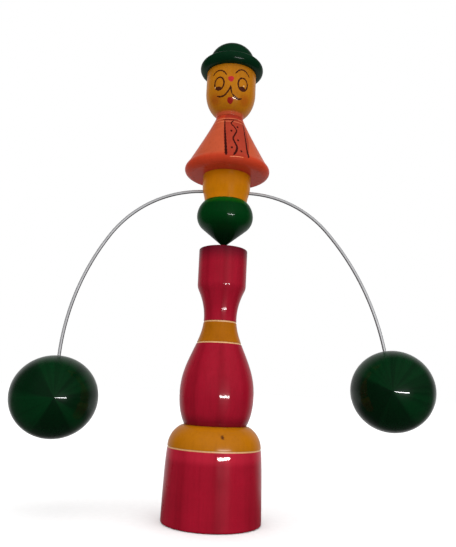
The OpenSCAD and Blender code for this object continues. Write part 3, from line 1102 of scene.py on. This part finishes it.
class DOLL_OT_wire(bpy.types.Operator):
    """Builds the bent wire with its two arms"""

    bl_idname = "doll.wire"
    bl_label = "Wire"

    def execute(self, context):
        size = sizes()
        half = size.wire_width / 2
        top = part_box("arm_wire")[1].z - half
        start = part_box("waist")[1].x - 1.5 * MM, top
        short = 1.2 * MM
        right = (size.right_bend, size.right_turn), (size.right_far_bend, size.right_far_turn)
        right = arm_points(start, right, size.right_ball_tall / 2 - short)
        left = (size.left_bend, size.left_turn), (size.left_far_bend, size.left_far_turn)
        left = arm_points(start, left, size.left_ball_tall / 2 - short)
        path = np.array([(-x, z) for x, z in reversed(left)] + [(0.0, top)] + right)
        ways, gone = followed(path)
        sides = 24
        vertices, drawn = [], []
        for (px, pz), (wx, wz), s in zip(path, ways, gone):
            for k in range(sides):
                a = 2 * math.pi * k / sides
                out = half * math.cos(a)
                vertices.append((px - wz * out, half * math.sin(a), pz + wx * out))
                drawn += [math.cos(a), math.sin(a), s]
        piece = new_piece("arm_wire_drawn", vertices, tube_faces(len(path), sides), "doll")
        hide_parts("arm_wire")
        piece.data.attributes.new("drawn", "FLOAT_VECTOR", "POINT").data.foreach_set("vector", drawn)
        piece.data.materials.append(drawn_steel("wire_steel", colours().wire_steel, colours().wire_painted_shade))
        return {"FINISHED"}


class DOLL_OT_stage(bpy.types.Operator):
    """Sets the floor, the lights and the camera"""

    bl_idname = "doll.stage"
    bl_label = "Stage"

    def execute(self, context):
        scene, stage = context.scene, context.scene.doll_stage
        floor_disc()
        white_surroundings(scene, stage)
        for name, energy, spot in (
            ("soft_sun", stage.sun, (0.3, -0.9, 0.95)),
            ("back_fill", stage.fill, (-0.3, 0.9, 0.6)),
        ):
            lamp = bpy.data.lights.new(name, "SUN")
            lamp.energy, lamp.angle = energy, stage.sun_spread
            place_lamp(name, lamp, spot, (0, 0, 0)).visible_glossy = False
        bar = bpy.data.lights.new("bar_lamp", "AREA")
        bar.shape, bar.energy = "RECTANGLE", stage.bar_power
        bar.size, bar.size_y = stage.bar_wide, stage.bar_tall
        place_lamp("bar_lamp", bar, (0.16, -0.36, 0.05), (0, 0, 0.06)).visible_diffuse = False
        camera = bpy.data.objects.new("camera", bpy.data.cameras.new("camera"))
        scene.collection.objects.link(camera)
        camera.data.lens = stage.lens
        camera.data.clip_start, camera.data.clip_end = 0.01, 20
        spot = Vector((stage.camera_side, -stage.camera_back, stage.camera_height))
        tilt = Matrix.Rotation(math.pi / 2 + stage.camera_tilt, 4, "X")
        roll = Matrix.Rotation(stage.camera_roll, 4, "Z")
        camera.matrix_world = Matrix.Translation(spot) @ tilt @ roll
        scene.camera = camera
        scene.view_settings.view_transform = "Standard"
        return {"FINISHED"}


DIM, FLOOR_BOUNCE = 0.04, 0.52
RIM_LEVELS = {0.3: DIM, 0.65: 0.6, 0.8: 0.65, 1.0: 0.55}


def rim_light(f, nearness):
    """Brightness of the surroundings in reflections, by how near a direction is to straight back."""
    made = f.node("ShaderNodeValToRGB")
    f.link(nearness, made.inputs["Fac"])
    stops = made.color_ramp.elements
    while len(stops) < len(RIM_LEVELS):
        stops.new(0.5)
    for stop, (place, level) in zip(stops, RIM_LEVELS.items()):
        stop.position, stop.color = place, grey(level)
    return made.outputs["Color"]


def floor_disc():
    """Large round pale floor, white to the camera."""
    count, radii = 96, (0.3, 1.0, 3.0, 9.0)
    vertices, faces = [(0, 0, 0)], []
    for r in radii:
        vertices += ring(r, 0, count)
    for k in range(count):
        n = (k + 1) % count
        faces.append((0, 1 + k, 1 + n))
        for i in range(len(radii) - 1):
            a, b = 1 + i * count, 1 + (i + 1) * count
            faces.append((a + k, b + k, b + n, a + n))
    mesh = bpy.data.meshes.new("floor")
    mesh.from_pydata(vertices, [], faces)
    floor = bpy.data.objects.new("floor", mesh)
    floor.location.z = -0.2 * MM
    bpy.context.scene.collection.objects.link(floor)
    f = Finish("floor_card")
    path = f.node("ShaderNodeLightPath").outputs
    place = f.place()
    fleck = f.spread(f.noise(place, 300, 4), 0.3, 0.7, 0, 1)
    white = f.mixed(fleck, grey(0.97), grey(1))
    behind = f.spread(f.vector("LENGTH", place)["Value"], 0.03, 0.15, 0, 1, True)
    mirrored = f.mixed(behind, grey(DIM), rim_light(f, f.parts(f.heading(place))["Y"]))
    seen = f.calc("MAXIMUM", path["Is Camera Ray"], path["Is Transmission Ray"])
    shade = f.mixed(seen, grey(FLOOR_BOUNCE), white)
    shade = f.mixed(path["Is Glossy Ray"], shade, mirrored)
    card = f.dress({"Base Color": shade, "Roughness": 1.0, "Specular IOR Level": 0.0})
    mesh.materials.append(card)


def white_surroundings(scene, stage):
    """White background. In reflections it is bright behind the doll and dim in front of it."""
    world = bpy.data.worlds.new("surroundings")
    scene.world = world
    world.use_nodes = True
    w = Wiring(world.node_tree)
    way = w.node("ShaderNodeTexCoord").outputs["Generated"]
    near = w.vector("DOT_PRODUCT", way, Vector((0.3, -0.9, 0.4)).normalized())["Value"]
    glow = w.spread(near, 0.1, 0.95, DIM, 0.18, True)
    mirrored = w.calc("MAXIMUM", rim_light(w, w.parts(way)["Y"]), glow)
    path = w.node("ShaderNodeLightPath").outputs
    seen = w.calc("MAXIMUM", path["Is Camera Ray"], path["Is Transmission Ray"])
    seen = w.calc("MAXIMUM", seen, w.calc("MULTIPLY", path["Is Glossy Ray"], mirrored))
    seen = w.calc("MAXIMUM", seen, w.calc("MULTIPLY", path["Is Diffuse Ray"], stage.sky))
    background = w.tree.nodes["Background"]
    background.inputs["Color"].default_value = grey(1)
    w.link(seen, background.inputs["Strength"])


def place_lamp(name, lamp, spot, aim):
    made = bpy.data.objects.new(name, lamp)
    bpy.context.scene.collection.objects.link(made)
    made.location = spot
    made.rotation_euler = (Vector(aim) - Vector(spot)).to_track_quat("-Z", "Y").to_euler()
    return made


OPERATORS = (
    DOLL_OT_stand,
    DOLL_OT_pivot,
    DOLL_OT_dowels,
    DOLL_OT_foot,
    DOLL_OT_waist,
    DOLL_OT_tunic,
    DOLL_OT_head,
    DOLL_OT_hat,
    DOLL_OT_balls,
    DOLL_OT_wire,
    DOLL_OT_stage,
)


class DOLL_PT_panel(bpy.types.Panel):
    """Lists the pieces of the doll and their settings"""

    bl_idname = "DOLL_PT_panel"
    bl_label = "Balancing doll"
    bl_space_type = "VIEW_3D"
    bl_region_type = "UI"
    bl_category = "Doll"

    def draw(self, context):
        for operator in OPERATORS:
            self.layout.operator(operator.bl_idname)
        for group in GROUPS:
            box = self.layout.box()
            settings = getattr(context.scene, group)
            for prop in settings.__annotations__:
                box.prop(settings, prop)


GROUPS = {
    "doll_colours": DollColours,
    "doll_sizes": DollSizes,
    "doll_paint": DollPaint,
    "doll_stage": DollStage,
}


def register():
    for made in (*GROUPS.values(), *OPERATORS, DOLL_PT_panel):
        bpy.utils.register_class(made)
    for name, group in GROUPS.items():
        setattr(bpy.types.Scene, name, bpy.props.PointerProperty(type=group))


def unregister():
    for name in GROUPS:
        delattr(bpy.types.Scene, name)
    for made in reversed((*GROUPS.values(), *OPERATORS, DOLL_PT_panel)):
        bpy.utils.unregister_class(made)


def main():
    register()
    bpy.ops.doll.stand()
    bpy.ops.doll.pivot()
    bpy.ops.doll.dowels()
    bpy.ops.doll.foot()
    bpy.ops.doll.waist()
    bpy.ops.doll.tunic()
    bpy.ops.doll.head()
    bpy.ops.doll.hat()
    bpy.ops.doll.balls()
    bpy.ops.doll.wire()
    bpy.ops.doll.stage()


if __name__ == "__main__":
    main()
